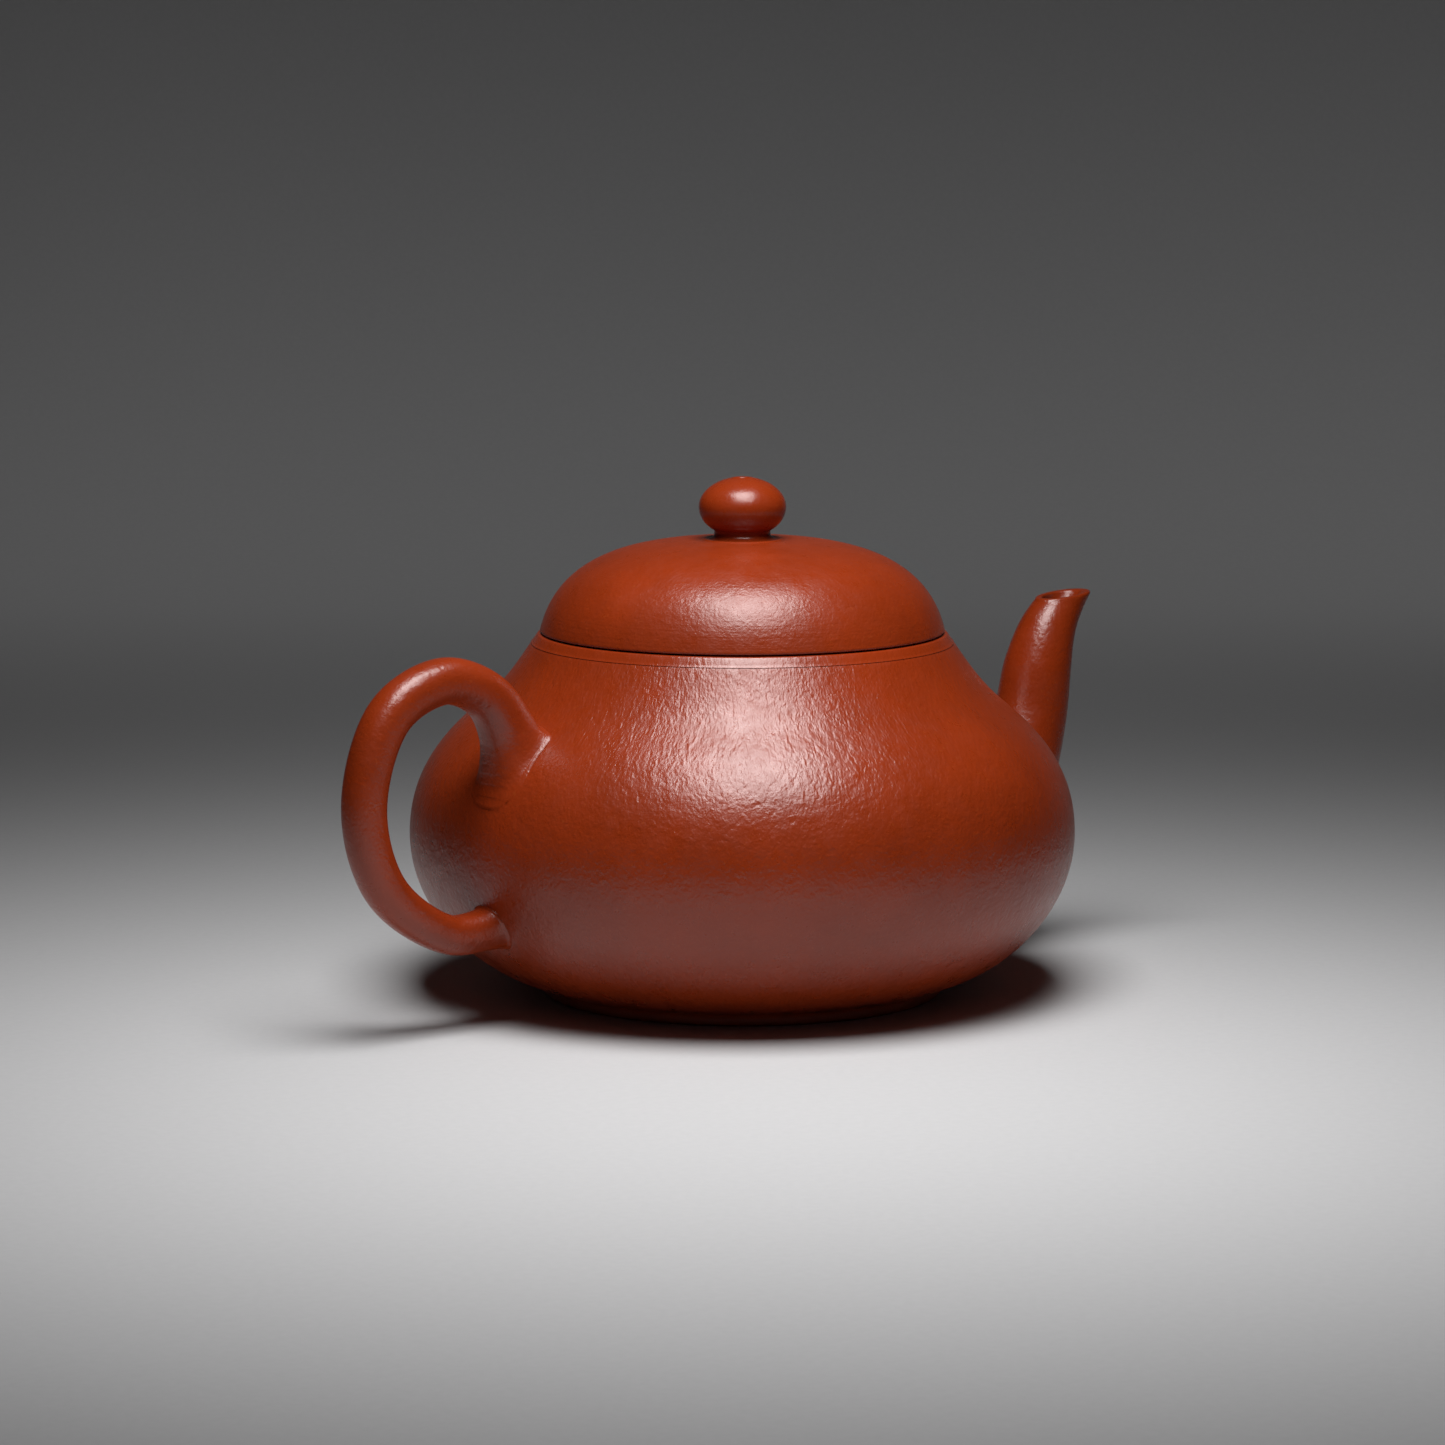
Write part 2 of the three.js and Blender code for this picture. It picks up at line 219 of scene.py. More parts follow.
def lattice_noise(points, seed):
    """Smooth noise between -1 and 1 over space, one cycle or so per unit."""
    table = np.random.default_rng(seed).uniform(-1, 1, 8192)
    cell = np.floor(points).astype(np.int64)
    part = points - cell
    part = part * part * (3 - 2 * part)
    total = np.zeros(points.shape[:-1])
    for corner in np.ndindex(2, 2, 2):
        step = np.array(corner)
        share = np.prod(np.where(step == 1, part, 1 - part), axis=-1)
        at = cell + step
        place = at[..., 0] * 7919 + at[..., 1] * 104729 + at[..., 2] * 1299709
        total += share * table[place % len(table)]
    return total


def crepe(angle, along, size, stretch, seed):
    """Wrinkles on a turned surface: cells of a size, drawn out along the outline by a stretch."""
    ring = 34.0
    around = (ring * np.cos(angle) / size, ring * np.sin(angle) / size)
    points = np.stack(np.broadcast_arrays(*around, along / (size * stretch)), axis=-1)
    warp = lattice_noise(points * 0.45, seed + 1)
    points = points + 0.8 * np.stack([warp, -warp, 0.5 * warp], axis=-1)
    return lattice_noise(points, seed) + 0.45 * lattice_noise(points * 2.1, seed + 2)


# ---------------------------------------------------------------- meshes


def mesh_object(name, points, faces, sharp_over=SHARP_OVER):
    """A mesh object from points in millimetres, smooth but for edges over an angle."""
    mesh = bpy.data.meshes.new(name)
    mesh.from_pydata((np.asarray(points) * MM).tolist(), [], faces)
    work = bmesh.new()
    work.from_mesh(mesh)
    bmesh.ops.remove_doubles(work, verts=work.verts, dist=1e-7)
    bmesh.ops.recalc_face_normals(work, faces=work.faces)
    work.to_mesh(mesh)
    work.free()
    mesh.polygons.foreach_set("use_smooth", [True] * len(mesh.polygons))
    mesh.set_sharp_from_angle(angle=math.radians(sharp_over))
    obj = bpy.data.objects.new(name, mesh)
    bpy.context.collection.objects.link(obj)
    return obj


def grid_faces(rows, columns, rows_closed, columns_closed):
    """Quads of a grid of points, wrapped round where it closes."""
    faces = []
    for i in range(rows if rows_closed else rows - 1):
        below = i * columns
        above = ((i + 1) % rows) * columns
        for k in range(columns if columns_closed else columns - 1):
            nxt = (k + 1) % columns
            faces.append((below + k, below + nxt, above + nxt, above + k))
    return faces


def turned(name, outline, sides, relief=None):
    """A turned piece from a closed outline. relief(angle, outline) gives each point's rise."""
    angles = np.linspace(0, 2 * math.pi, sides, endpoint=False)
    along = np.gradient(np.vstack([outline[-1:], outline, outline[:1]]), axis=0)[1:-1]
    normal = unit(np.stack([along[:, 1], -along[:, 0]], axis=1))
    rise = np.zeros((len(outline), sides))
    if relief is not None:
        rise = relief(angles[None, :], outline)
    radius = outline[:, :1] + normal[:, :1] * rise
    height = outline[:, 1:] + normal[:, 1:] * rise
    points = np.stack([radius * np.cos(angles), radius * np.sin(angles), height], axis=-1)
    on_axis = outline[0, 0] == 0
    faces = grid_faces(len(outline), sides, not on_axis, True)
    return mesh_object(name, points.reshape(-1, 3), faces)


def cut(obj, tool):
    """Cuts a closed tool object out of a piece, and removes the tool."""
    change = obj.modifiers.new("cut", "BOOLEAN")
    change.operation = "DIFFERENCE"
    change.solver = "MANIFOLD"
    change.object = tool
    bpy.context.view_layer.update()
    shape = obj.evaluated_get(bpy.context.evaluated_depsgraph_get())
    mesh = bpy.data.meshes.new_from_object(shape)
    obj.modifiers.clear()
    obj.data = mesh
    mesh.set_sharp_from_angle(angle=math.radians(SHARP_OVER))
    bpy.data.objects.remove(tool)


def rod(name, start, end, radius, sides=40):
    """A closed round rod between two points, used as a cutting tool."""
    start, end = Vector(start), Vector(end)
    turn = (end - start).to_track_quat("Z", "Y").to_matrix()
    points = []
    for at in (start, end):
        for k in range(sides):
            angle = 2 * math.pi * k / sides
            ring_point = Vector((radius * math.cos(angle), radius * math.sin(angle), 0))
            points.append(at + turn @ ring_point)
    faces = grid_faces(2, sides, False, True)
    faces.append(tuple(range(sides))[::-1])
    faces.append(tuple(range(sides, 2 * sides)))
    return mesh_object(name, [tuple(p) for p in points], faces)


# ---------------------------------------------------------------- tubes for the spout and handle


def spine(points, count=1600):
    """A smooth centripetal curve through (x, half thickness, z) points, as a dense table."""
    points = np.array(points, float)
    first = 2 * points[0] - points[1]
    last = 2 * points[-1] - points[-2]
    knots = np.vstack([first, points, last])
    out = []
    per = count // (len(points) - 1)
    for i in range(len(points) - 1):
        p0, p1, p2, p3 = knots[i : i + 4]
        d0, d1, d2 = (np.linalg.norm(b - a) ** 0.5 for a, b in ((p0, p1), (p1, p2), (p2, p3)))
        m1 = ((p1 - p0) / d0 - (p2 - p0) / (d0 + d1) + (p2 - p1) / d1) * d1
        m2 = ((p2 - p1) / d1 - (p3 - p1) / (d1 + d2) + (p3 - p2) / d2) * d1
        t = np.linspace(0, 1, per, endpoint=False)[:, None]
        out.append(
            p1 * (2 * t**3 - 3 * t**2 + 1)
            + m1 * (t**3 - 2 * t**2 + t)
            + p2 * (-2 * t**3 + 3 * t**2)
            + m2 * (t**3 - t**2)
        )
    out.append(points[-1:])
    return np.vstack(out)


def tube_points(curve, at, angle, section):
    """Points on a tube at places 0 to 1 along its curve. section(angle, at) gives (in plane,
    across), in half thicknesses."""
    table = np.linspace(0, 1, len(curve))
    x, half, z = (np.interp(at, table, curve[:, k]) for k in range(3))
    slope = unit(np.gradient(curve[:, [0, 2]], axis=0))
    tx, tz = (np.interp(at, table, slope[:, k]) for k in range(2))
    in_plane, across = section(angle, at)
    offset = half * in_plane
    return np.stack([x - tz * offset, half * across, z + tx * offset], axis=-1)


def first_outside(curve, angles, section, depth, backwards=False):
    """For each angle, the first place along a tube that is past a depth under the body."""
    at = np.linspace(0, 1, 900)
    if backwards:
        at = at[::-1]
    points = tube_points(curve, at[:, None], angles[None, :], section)
    out = above_body(points)[0] > -depth
    return at[np.argmax(out, axis=0)]


def first_at_lip(curve, angles, section, below):
    """For each angle, the place along a tube where it comes within a depth of the lip's plane."""
    at = np.linspace(0.5, 1, 900)
    points = tube_points(curve, at[:, None], angles[None, :], section)
    lip = LIP_Z + (points[..., 0] - LIP_X) * LIP_SLOPE
    return at[np.argmax(points[..., 2] > lip - below, axis=0)]


def spread(points, amount, reach, bead, bead_height, power=1.25):
    """Presses a tube's foot out over the body, with a rounded bead at its edge. It fades over a
    reach: a power under 1 sweeps it into the body, one over 1 leaves it standing as a collar."""
    rise, facing = above_body(points)
    centre = points.mean(axis=1, keepdims=True)
    outward = points - centre
    outward = outward - (outward * facing).sum(-1, keepdims=True) * facing
    fade = np.exp(-((np.maximum(rise, 0) / reach) ** power))
    edge = np.sqrt(1 - np.clip(rise / bead_height, 0, 1) ** 2)
    return points + unit(outward) * (amount * fade + bead * edge)[..., None]


SPOUT_LINE = spine([
    (33, 8.4, 15),
    (40.6, 7.3, 18.4),
    (45.9, 5.9, 23.4),
    (49.1, 4.85, 30),
    (50.5, 4.4, 36.5),
    (52.1, 3.75, 41),
    (54.5, 3, 44.4),
    (57.7, 2.45, 48),
])
SPOUT_CHANNEL = spine([
    (33, 6.8, 15),
    (40.6, 5.7, 18.4),
    (45.9, 4.4, 23.4),
    (49.1, 3.4, 30),
    (50.4, 3, 36.5),
    (51.9, 2.5, 41),
    (54, 2.1, 44.4),
    (56.9, 1.9, 48),
])
HANDLE_LINE = spine([
    (-33.2, 5.4, 26),
    (-35.2, 4.1, 31.3),
    (-37, 3.3, 36.3),
    (-40.2, 2.95, 40.5),
    (-46.5, 2.85, 42.65),
    (-54.4, 2.75, 39.2),
    (-58.2, 2.65, 28.7),
    (-55.2, 2.6, 18.6),
    (-46.2, 2.45, 12.3),
    (-40.5, 2.6, 12.2),
    (-35.5, 3, 12.9),
])


def round_section(angle, at):
    return np.cos(angle) + 0 * at, np.sin(angle) + 0 * at


def handle_section(angle, at):
    """Gently flattened outside, with a flatter, soft-cornered face towards the finger."""
    inner = np.clip(np.cos(angle), 0, 1)
    flat = 0.9 * inner**0.72 + 0.04 * inner
    in_plane = np.where(np.cos(angle) > 0, flat, -(np.abs(np.cos(angle)) ** 0.86))
    power = np.where(np.cos(angle) > 0, 0.8, 0.9)
    across = np.sign(np.sin(angle)) * np.abs(np.sin(angle)) ** power
    return in_plane + 0 * at, 0.97 * across + 0 * at


# ---------------------------------------------------------------- the pot's pieces


def wall_relief(angle, outline):
    """Crepe on the outside, the slab's luted seam and wiping marks on the inside."""
    radius, z = outline[:, :1], outline[:, 1:]
    inside = radius < outline_radius(z) - 0.6 * WALL
    fade = np.clip((z - FOOT_H - 0.4) / 5, 0, 1) * np.clip((CREASE_Z - 0.25 - z) / 1.2, 0, 1)
    skin = 0.004 * crepe(angle, z * 1.25, 1.3, 1.2, 11) * fade
    hand = 0.04 * crepe(angle, z, 17, 0.8, 21) * fade
    off_seam = (angle - math.pi) * radius
    seam = 0.25 * np.exp(-((off_seam / 1.2) ** 2))
    wiping = 0.04 * np.sin(z * 2.3 + 0.6 * np.sin(3 * angle))
    inner_fade = np.clip((z - BASE_TOP - 1.5) / 3, 0, 1)
    inner_fade = inner_fade * np.clip((TOP_DISC_LOW - 1 - z) / 3, 0, 1)
    return np.where(inside, -(seam + wiping) * inner_fade, skin + hand)


def body_wall():
    outer = body_outline[body_outline[:, 1] < CREASE_Z - 0.15][3::2]
    inner = inwards(body_outline, WALL)
    inner = inner[(inner[:, 1] > BASE_TOP) & (inner[:, 1] < CREASE_Z)][::14][::-1]
    corners = [
        (DISC_R, FOOT_H, 0),
        *plain(outer),
        (outline_radius(CREASE_Z) - 0.02, CREASE_Z, 0.05),
        (inner[0][0], CREASE_Z, 0),
        *plain(inner[1:]),
        (DISC_R, BASE_TOP, 0),
    ]
    wall = turned("body_wall_skin", rounded(corners), 600, wall_relief)
    cut(wall, rod("passage_tool", (30, 0, PASSAGE_Z), (50, 0, PASSAGE_Z), PASSAGE_R))
    return wall


def slab_ripple(angle, outline):
    """The uneven surface that a hand-beaten slab keeps."""
    return 0.03 * crepe(angle, outline[:, :1] + 3 * outline[:, 1:], 5, 1, 31)


def base_disc():
    outline = filled(
        np.array([
            (0, FOOT_H + DISC_DOMING),
            (FOOT_R - FOOT_W, FOOT_H),
            (DISC_R, FOOT_H),
            (DISC_R, BASE_TOP - DISC_DOMING),
            (0, BASE_TOP),
        ]),
        0.8,
        closed=False,
    )
    return turned("base_disc_slab", outline, 240, slab_ripple)


def foot_ring():
    inner = FOOT_R - FOOT_W
    fillet = bezier(
        (FOOT_R, FOOT_H - 0.55), (FOOT_R, FOOT_H - 0.15), (FOOT_R + 0.25, FOOT_H + 0.08),
        (FOOT_R + 0.9, FOOT_H + 0.2), 8,
    )
    corners = [
        (inner + 0.7, 0, 0.35),
        (FOOT_R - 0.05, 0, 0.42),
        *plain(fillet),
        (FOOT_R - 0.2, FOOT_H + 0.25, 0),
        (inner - 0.5, FOOT_H + 0.05, 0.1),
        (inner + 0.15, FOOT_H - 0.2, 0.3),
    ]
    return turned("foot_ring_turned", filled(rounded(corners), 0.35), 480)


def top_disc():
    inside = inwards(body_outline, WALL)
    outer = np.interp(TOP_DISC_LOW, inside[:, 1], inside[:, 0])
    top_r = outline_radius(CREASE_Z) - WALL * 0.8
    corners = [
        (MOUTH_R, TOP_DISC_LOW, 0.4),
        (outer, TOP_DISC_LOW, 0),
        (top_r, CREASE_Z - 0.03, 0),
        (MOUTH_R, CREASE_Z - 0.03, 0),
    ]
    return turned("top_disc_slab", filled(rounded(corners), 0.5), 360)


def mouth_ring():
    side = body_outline[(body_outline[:, 1] > CREASE_Z + 0.2) & (body_outline[:, 1] < RIM_Z - 0.3)]
    bottom = outline_radius(CREASE_Z)
    corners = [
        (MOUTH_R, CREASE_Z, 0),
        (bottom + 0.08, CREASE_Z, 0.1),
        *plain(side),
        (RIM_R - 0.02, RIM_Z, 0.22),
        (MOUTH_R, RIM_Z, 0.3),
    ]
    return turned("mouth_ring_band", filled(rounded(corners), 0.25), 600)


def spout():
    """Outer skin from the body to the lip, over the lip, and down the channel to the root."""
    sides, rows, channel_rows = 128, 150, 60
    angles = np.linspace(0, 2 * math.pi, sides, endpoint=False)
    lip = 0.32  # height of the lip's round edge
    depth = 0.35  # how far under the clay the spout starts
    root = first_outside(SPOUT_LINE, angles, round_section, depth)
    tip = first_at_lip(SPOUT_LINE, angles, round_section, lip)
    share = np.linspace(0, 1, rows)[:, None] ** 1.35
    skin = tube_points(SPOUT_LINE, root + (tip - root) * share, angles, round_section)
    skin = spread(skin, 0.3, 0.6, 0.05, 0.15)

    channel_tip = first_at_lip(SPOUT_CHANNEL, angles, round_section, lip)
    channel_root = first_outside(SPOUT_CHANNEL, angles, round_section, depth)
    share = np.linspace(1, 0, channel_rows)[:, None]
    channel = tube_points(
        SPOUT_CHANNEL, channel_root + (channel_tip - channel_root) * share, angles, round_section
    )
    over = []
    for t in np.linspace(0, 1, 14)[1:-1]:
        edge = skin[-1] * (1 - t) + channel[0] * t
        swell = (1 - abs(2 * t - 1) ** 3.2) ** (1 / 2.2)
        over.append(edge + np.array((0, 0, lip)) * swell)
    points = np.concatenate([skin, np.array(over), channel])
    faces = grid_faces(len(points), sides, True, True)
    return mesh_object("spout_formed", points.reshape(-1, 3), faces, sharp_over=70)


def handle():
    """Rolled arm between two pressed-on feet; the upper foot ends in a pointed ear each side."""
    sides, rows = 120, 330
    depth = 0.3  # how far under the clay each foot starts
    ear_at, ear_width = 2.1, 0.32  # round the section, in radians from its inner side
    angles = np.linspace(0, 2 * math.pi, sides, endpoint=False)
    start = first_outside(HANDLE_LINE, angles, handle_section, depth)
    end = first_outside(HANDLE_LINE, angles, handle_section, depth, backwards=True)
    share = np.linspace(0, 1, rows)
    share = (share - 0.13 * np.sin(2 * math.pi * share))[:, None]
    points = tube_points(HANDLE_LINE, start + (end - start) * share, angles, handle_section)
    from_inner = np.abs((angles + math.pi) % (2 * math.pi) - math.pi)
    ear = np.exp(-(((from_inner - ear_at) / ear_width) ** 2))
    under = 0.5 + 0.5 * np.cos(math.pi * np.clip(from_inner / 1.5, 0, 1))
    upper = np.linspace(0, 1, rows)[:, None] < 0.5
    amount = np.where(upper, 0.3 + 0.25 * np.sin(from_inner) + 0.65 * ear + 2.6 * under, 0.26)
    reach = np.where(upper, 0.9 + 0.9 * under, 0.5)
    bead = np.where(upper, 0.2 * (1 - under), 0.14)
    power = np.where(upper, 1.25 - 0.6 * under, 1.25)
    points = spread(points, amount, reach, bead, 0.3, power)
    cap_top = points[0].mean(axis=0)
    cap_low = points[-1].mean(axis=0)
    flat = np.vstack([points.reshape(-1, 3), cap_top, cap_low])
    faces = grid_faces(rows, sides, False, True)
    last = rows * sides
    for k in range(sides):
        nxt = (k + 1) % sides
        faces.append((last, nxt, k))
        faces.append((last + 1, last - sides + k, last - sides + nxt))
    arm = mesh_object("handle_rolled", flat, faces, sharp_over=80)
    blend_underside(arm)
    return arm


def blend_underside(arm):
    """Turns the shading of the upper foot's underside into the body's, where they blend."""
    reach, low_end, fade_from, fade_over = 0.8, 22, 33, 4
    size = len(arm.data.vertices) * 3
    places, normals = np.empty(size), np.empty(size)
    arm.data.vertices.foreach_get("co", places)
    arm.data.vertices.foreach_get("normal", normals)
    places, normals = places.reshape(-1, 3) / MM, normals.reshape(-1, 3)
    rise, facing = above_body(places)
    z = places[:, 2]
    share = np.exp(-((np.maximum(rise, 0) / reach) ** 2)) * (z > low_end)
    share = share * np.clip((fade_from - z) / fade_over, 0, 1)
    normals = unit(normals + (facing - normals) * share[:, None])
    arm.data.normals_split_custom_set_from_vertices(normals.tolist())


def ball_strainer():
    """The pierced half ball that keeps leaves out of the spout."""
    centre = np.array((STRAINER_X, 0, PASSAGE_Z))
    radius = PASSAGE_R + 1.7
    cap = math.radians(86)
    outer = [(radius * math.sin(a), -radius * math.cos(a)) for a in np.linspace(0, cap, 40)]
    r_in = radius - STRAINER_T
    inner = [(r_in * math.sin(a), -r_in * math.cos(a)) for a in np.linspace(cap, 0, 32)]
    outline = np.array(outer + inner)
    ball = turned("ball_strainer_shell", outline, 120)
    for vertex in ball.data.vertices:
        x, y, z = vertex.co
        vertex.co = (z + centre[0] * MM, y, -x + centre[2] * MM)
    middle = Vector(centre)
    for count, tilt in ((1, 0), (6, 26), (10, 50)):
        for i in range(count):
            around = 2 * math.pi * i / count
            away = Vector((
                -math.cos(math.radians(tilt)),
                math.sin(math.radians(tilt)) * math.cos(around),
                math.sin(math.radians(tilt)) * math.sin(around),
            ))
            start, end = middle + away * (r_in - 1), middle + away * (radius + 1)
            cut(ball, rod("hole_tool", start, end, STRAINER_HOLE_R, 24))
    return ball


# ---------------------------------------------------------------- the lid's pieces


def dome_relief(angle, outline):
    """Fine crepe on the dome, smoothed off near the knob and the edge."""
    radius, z = outline[:, :1], outline[:, 1:]
    fade = np.clip((radius - KNOB_SEAT_R - 1) / 4, 0, 1) * np.clip((z - SEAT_Z - 0.8) / 2, 0, 1)
    x = radius * np.cos(angle)
    y = radius * np.sin(angle)
    points = np.stack([x, y, z + 0 * angle], axis=-1) / 1.25
    skin = lattice_noise(points, 41) + 0.5 * lattice_noise(points * 2.1, 42)
    outside = (z > DOME_TOP - 0.01) | (radius > 10) & (z > DOME_Z - 1.2)
    return np.where(outside, 0.006 * skin * fade, 0)


def lid_dome():
    foot = (LID_R + 0.12, LID_LOW + 0.02)
    outer = bezier(
        foot, (LID_R - 1.05, DOME_Z + 4), (20.2, DOME_TOP), (KNOB_SEAT_R, DOME_TOP), 100
    )
    inner = inwards(outer, DOME_T)
    inner = inner[inner[:, 1] > DOME_Z + 0.1][::4][::-1]
    corners = [
        (DOME_FOOT_R, LID_LOW, 0),
        (*foot, 0.3),
        *plain(outer[2:]),
        (VENT_R, DOME_TOP, 0),
        (VENT_R, DOME_TOP - DOME_T, 0.2),
        *plain(inner),
        (DOME_FOOT_R, DOME_Z, 0),
    ]
    return turned("lid_dome_shell", filled(rounded(corners), 0.6), 480, dome_relief)


def lid_seat_ring():
    corners = [
        (FLANGE_R - FLANGE_T, LID_LOW, 0),
        (DOME_FOOT_R, LID_LOW, 0),
        (DOME_FOOT_R, DOME_Z, 0),
        (FLANGE_R - FLANGE_T, DOME_Z, 0.35),
    ]
    return turned("lid_seat_ring_flat", filled(rounded(corners), 0.5), 360)


def lid_flange():
    inner = FLANGE_R - FLANGE_T
    corners = [
        (inner, FLANGE_LOW, 0.55),
        (FLANGE_R, FLANGE_LOW, 0.6),
        (FLANGE_R, LID_LOW - 0.25, 0.1),
        (FLANGE_R + 0.12, LID_LOW, 0),
        (inner, LID_LOW, 0),
    ]
    return turned("lid_flange_ring", filled(rounded(corners), 0.4), 360)


def knob():
    """A flattened ball on a short neck that flares on to the dome, with a softened vent hole."""
    centre = KNOB_CREST - KNOB_HALF_H
    low_angle = -math.acos(KNOB_NECK_R / KNOB_R)
    high_angle = math.acos((VENT_R + 0.3) / KNOB_R)
    angle = np.linspace(low_angle, high_angle, 60)
    ball = np.stack([KNOB_R * np.cos(angle), centre + KNOB_HALF_H * np.sin(angle)], axis=1)
    flare = bezier(
        (KNOB_SEAT_R + 0.12, DOME_TOP + 0.1),
        (KNOB_NECK_R + 0.35, DOME_TOP + 0.08),
        (KNOB_NECK_R - 0.05, DOME_TOP + 0.35),
        (KNOB_NECK_R - 0.02, ball[0][1] - 0.25),
        12,
    )
    corners = [
        (VENT_R, DOME_TOP, 0),
        (KNOB_SEAT_R + 0.75, DOME_TOP - 0.04, 0),
        (KNOB_SEAT_R + 0.45, DOME_TOP + 0.17, 0.14),
        *plain(flare),
        *plain(ball[:-1]),
        (VENT_R + 0.32, ball[-1][1] + 0.05, 0.1),
        (VENT_R, ball[-1][1] - 0.05, 0.16),
    ]
    return turned("knob_ball", filled(rounded(corners), 0.3), 240)


# ---------------------------------------------------------------- clay materials


class NodeTree:
    """Short calls for building a material's nodes."""

    def __init__(self, material):
        material.use_nodes = True
        self.tree = material.node_tree
        self.tree.nodes.clear()

    def add(self, kind, inputs=None, **settings):
        node = self.tree.nodes.new(kind)
        for key, value in settings.items():
            setattr(node, key, value)
        for key, value in (inputs or {}).items():
            socket = node.inputs[key]
            if isinstance(value, bpy.types.NodeSocket):
                self.tree.links.new(value, socket)
            else:
                socket.default_value = value
        return node

    def noise(self, vector, scale, detail=2.0, roughness=0.5, distortion=0.0):
        inputs = {
            "Vector": vector,
            "Scale": scale,
            "Detail": detail,
            "Roughness": roughness,
            "Distortion": distortion,
        }
        return self.add("ShaderNodeTexNoise", inputs).outputs["Fac"]

    def remap(self, value, from_low, from_high, to_low, to_high):
        inputs = {
            "Value": value,
            "From Min": from_low,
            "From Max": from_high,
            "To Min": to_low,
            "To Max": to_high,
        }
        return self.add("ShaderNodeMapRange", inputs).outputs["Result"]

    def mix_colour(self, factor, a, b):
        inputs = {"Factor": factor, 6: a, 7: b}
        return self.add("ShaderNodeMix", inputs, data_type="RGBA").outputs[2]

    def maths(self, operation, a, b):
        return self.add("ShaderNodeMath", {0: a, 1: b}, operation=operation).outputs[0]

    def bump(self, height, distance, under=None):
        inputs = {"Height": height, "Distance": distance, "Strength": 1}
        if under is not None:
            inputs["Normal"] = under
        return self.add("ShaderNodeBump", inputs).outputs["Normal"]


def turned_coordinates(nodes, ring, stretch):
    """Coordinates that run round the axis and up it, so that wrinkles follow the turned form."""
    place = nodes.add("ShaderNodeTexCoord").outputs["Object"]
    parts = nodes.add("ShaderNodeSeparateXYZ", {"Vector": place}).outputs
    flat = nodes.add("ShaderNodeCombineXYZ", {"X": parts["X"], "Y": parts["Y"]}).outputs[0]
    turn = nodes.add("ShaderNodeVectorMath", {0: flat}, operation="NORMALIZE").outputs[0]
    sized = nodes.add("ShaderNodeVectorMath", {0: turn, "Scale": ring}, operation="SCALE")
    height = nodes.maths("MULTIPLY", parts["Z"], 1 / stretch)
    lifted = nodes.add("ShaderNodeCombineXYZ", {"Z": height}).outputs[0]
    together = {0: sized.outputs[0], 1: lifted}
    return nodes.add("ShaderNodeVectorMath", together, operation="ADD").outputs[0]


def turning_marks(nodes):
    """Fine rings round the axis, broken up along their length, as wiping on a turntable leaves."""
    place = nodes.add("ShaderNodeTexCoord").outputs["Object"]
    parts = nodes.add("ShaderNodeSeparateXYZ", {"Vector": place}).outputs
    flat = nodes.add("ShaderNodeCombineXYZ", {"X": parts["X"], "Y": parts["Y"]}).outputs[0]
    radius = nodes.add("ShaderNodeVectorMath", {0: flat}, operation="LENGTH").outputs["Value"]
    drift = nodes.maths("MULTIPLY", nodes.noise(place, 160, 1, 0.5), 0.0006)
    ring = nodes.maths("ADD", radius, drift)
    rings = nodes.add("ShaderNodeCombineXYZ", {"X": ring, "Y": parts["Z"]}).outputs[0]
    return nodes.noise(rings, 2600, 2, 0.6)


def clay(name, base, roughness, wrinkle, wrinkle_size, turned_form=False, grain=1.0, marks=0.0):
    """Fired red clay: mottled colour with pale and dark specks, satin skin, wrinkles and grain."""
    material = bpy.data.materials.new(name)
    nodes = NodeTree(material)
    place = nodes.add("ShaderNodeTexCoord").outputs["Object"]
    cells = turned_coordinates(nodes, 0.034, 1.3) if turned_form else place

    base = np.array(base)
    cloud = nodes.noise(place, 95, 3, 0.6)
    tone = nodes.remap(cloud, 0.3, 0.7, 0, 1)
    colour = nodes.mix_colour(tone, (*(base * 0.9), 1), (*(base * 1.1), 1))
    pale = nodes.remap(nodes.noise(place, 2600, 1.5, 0.5), 0.66, 0.72, 0, 0.34)
    colour = nodes.mix_colour(pale, colour, (*(base * np.array((1.35, 2.2, 3.2))), 1))
    dark = nodes.remap(nodes.noise(place, 2100, 1, 0.5), 0.28, 0.23, 0, 0.25)
    colour = nodes.mix_colour(dark, colour, (*(base * 0.5), 1))

    worn = nodes.noise(place, 420, 3, 0.65)
    rough = nodes.remap(worn, 0.3, 0.7, roughness - 0.05, roughness + 0.07)

    fine = nodes.noise(place, 5200, 2, 0.6)
    normal = nodes.bump(fine, 0.000010 * grain)
    scale = 1 / (wrinkle_size * MM)
    folds = nodes.noise(cells, scale, 2.0, 0.5, 0.3)
    normal = nodes.bump(folds, 0.00011 * wrinkle * wrinkle_size, under=normal)
    broad = nodes.noise(cells, scale * 0.4, 1.0, 0.5, 0.5)
    normal = nodes.bump(broad, 0.00014 * wrinkle * wrinkle_size, under=normal)
    if marks > 0:
        normal = nodes.bump(turning_marks(nodes), 0.00002 * marks, under=normal)
    pits = nodes.remap(nodes.noise(place, 900, 0, 0.5), 0.17, 0.1, 0, 1)
    normal = nodes.bump(pits, -0.000008, under=normal)

    shader = nodes.add(
        "ShaderNodeBsdfPrincipled",
        {"Base Color": colour, "Roughness": rough, "Normal": normal},
    )
    shader.inputs["IOR"].default_value = 1.5
    shader.inputs["Specular IOR Level"].default_value = 0.55
    nodes.add("ShaderNodeOutputMaterial", {"Surface": shader.outputs["BSDF"]})
    return material


RED = (0.26, 0.028, 0.0039)
BARE = (0.31, 0.055, 0.016)

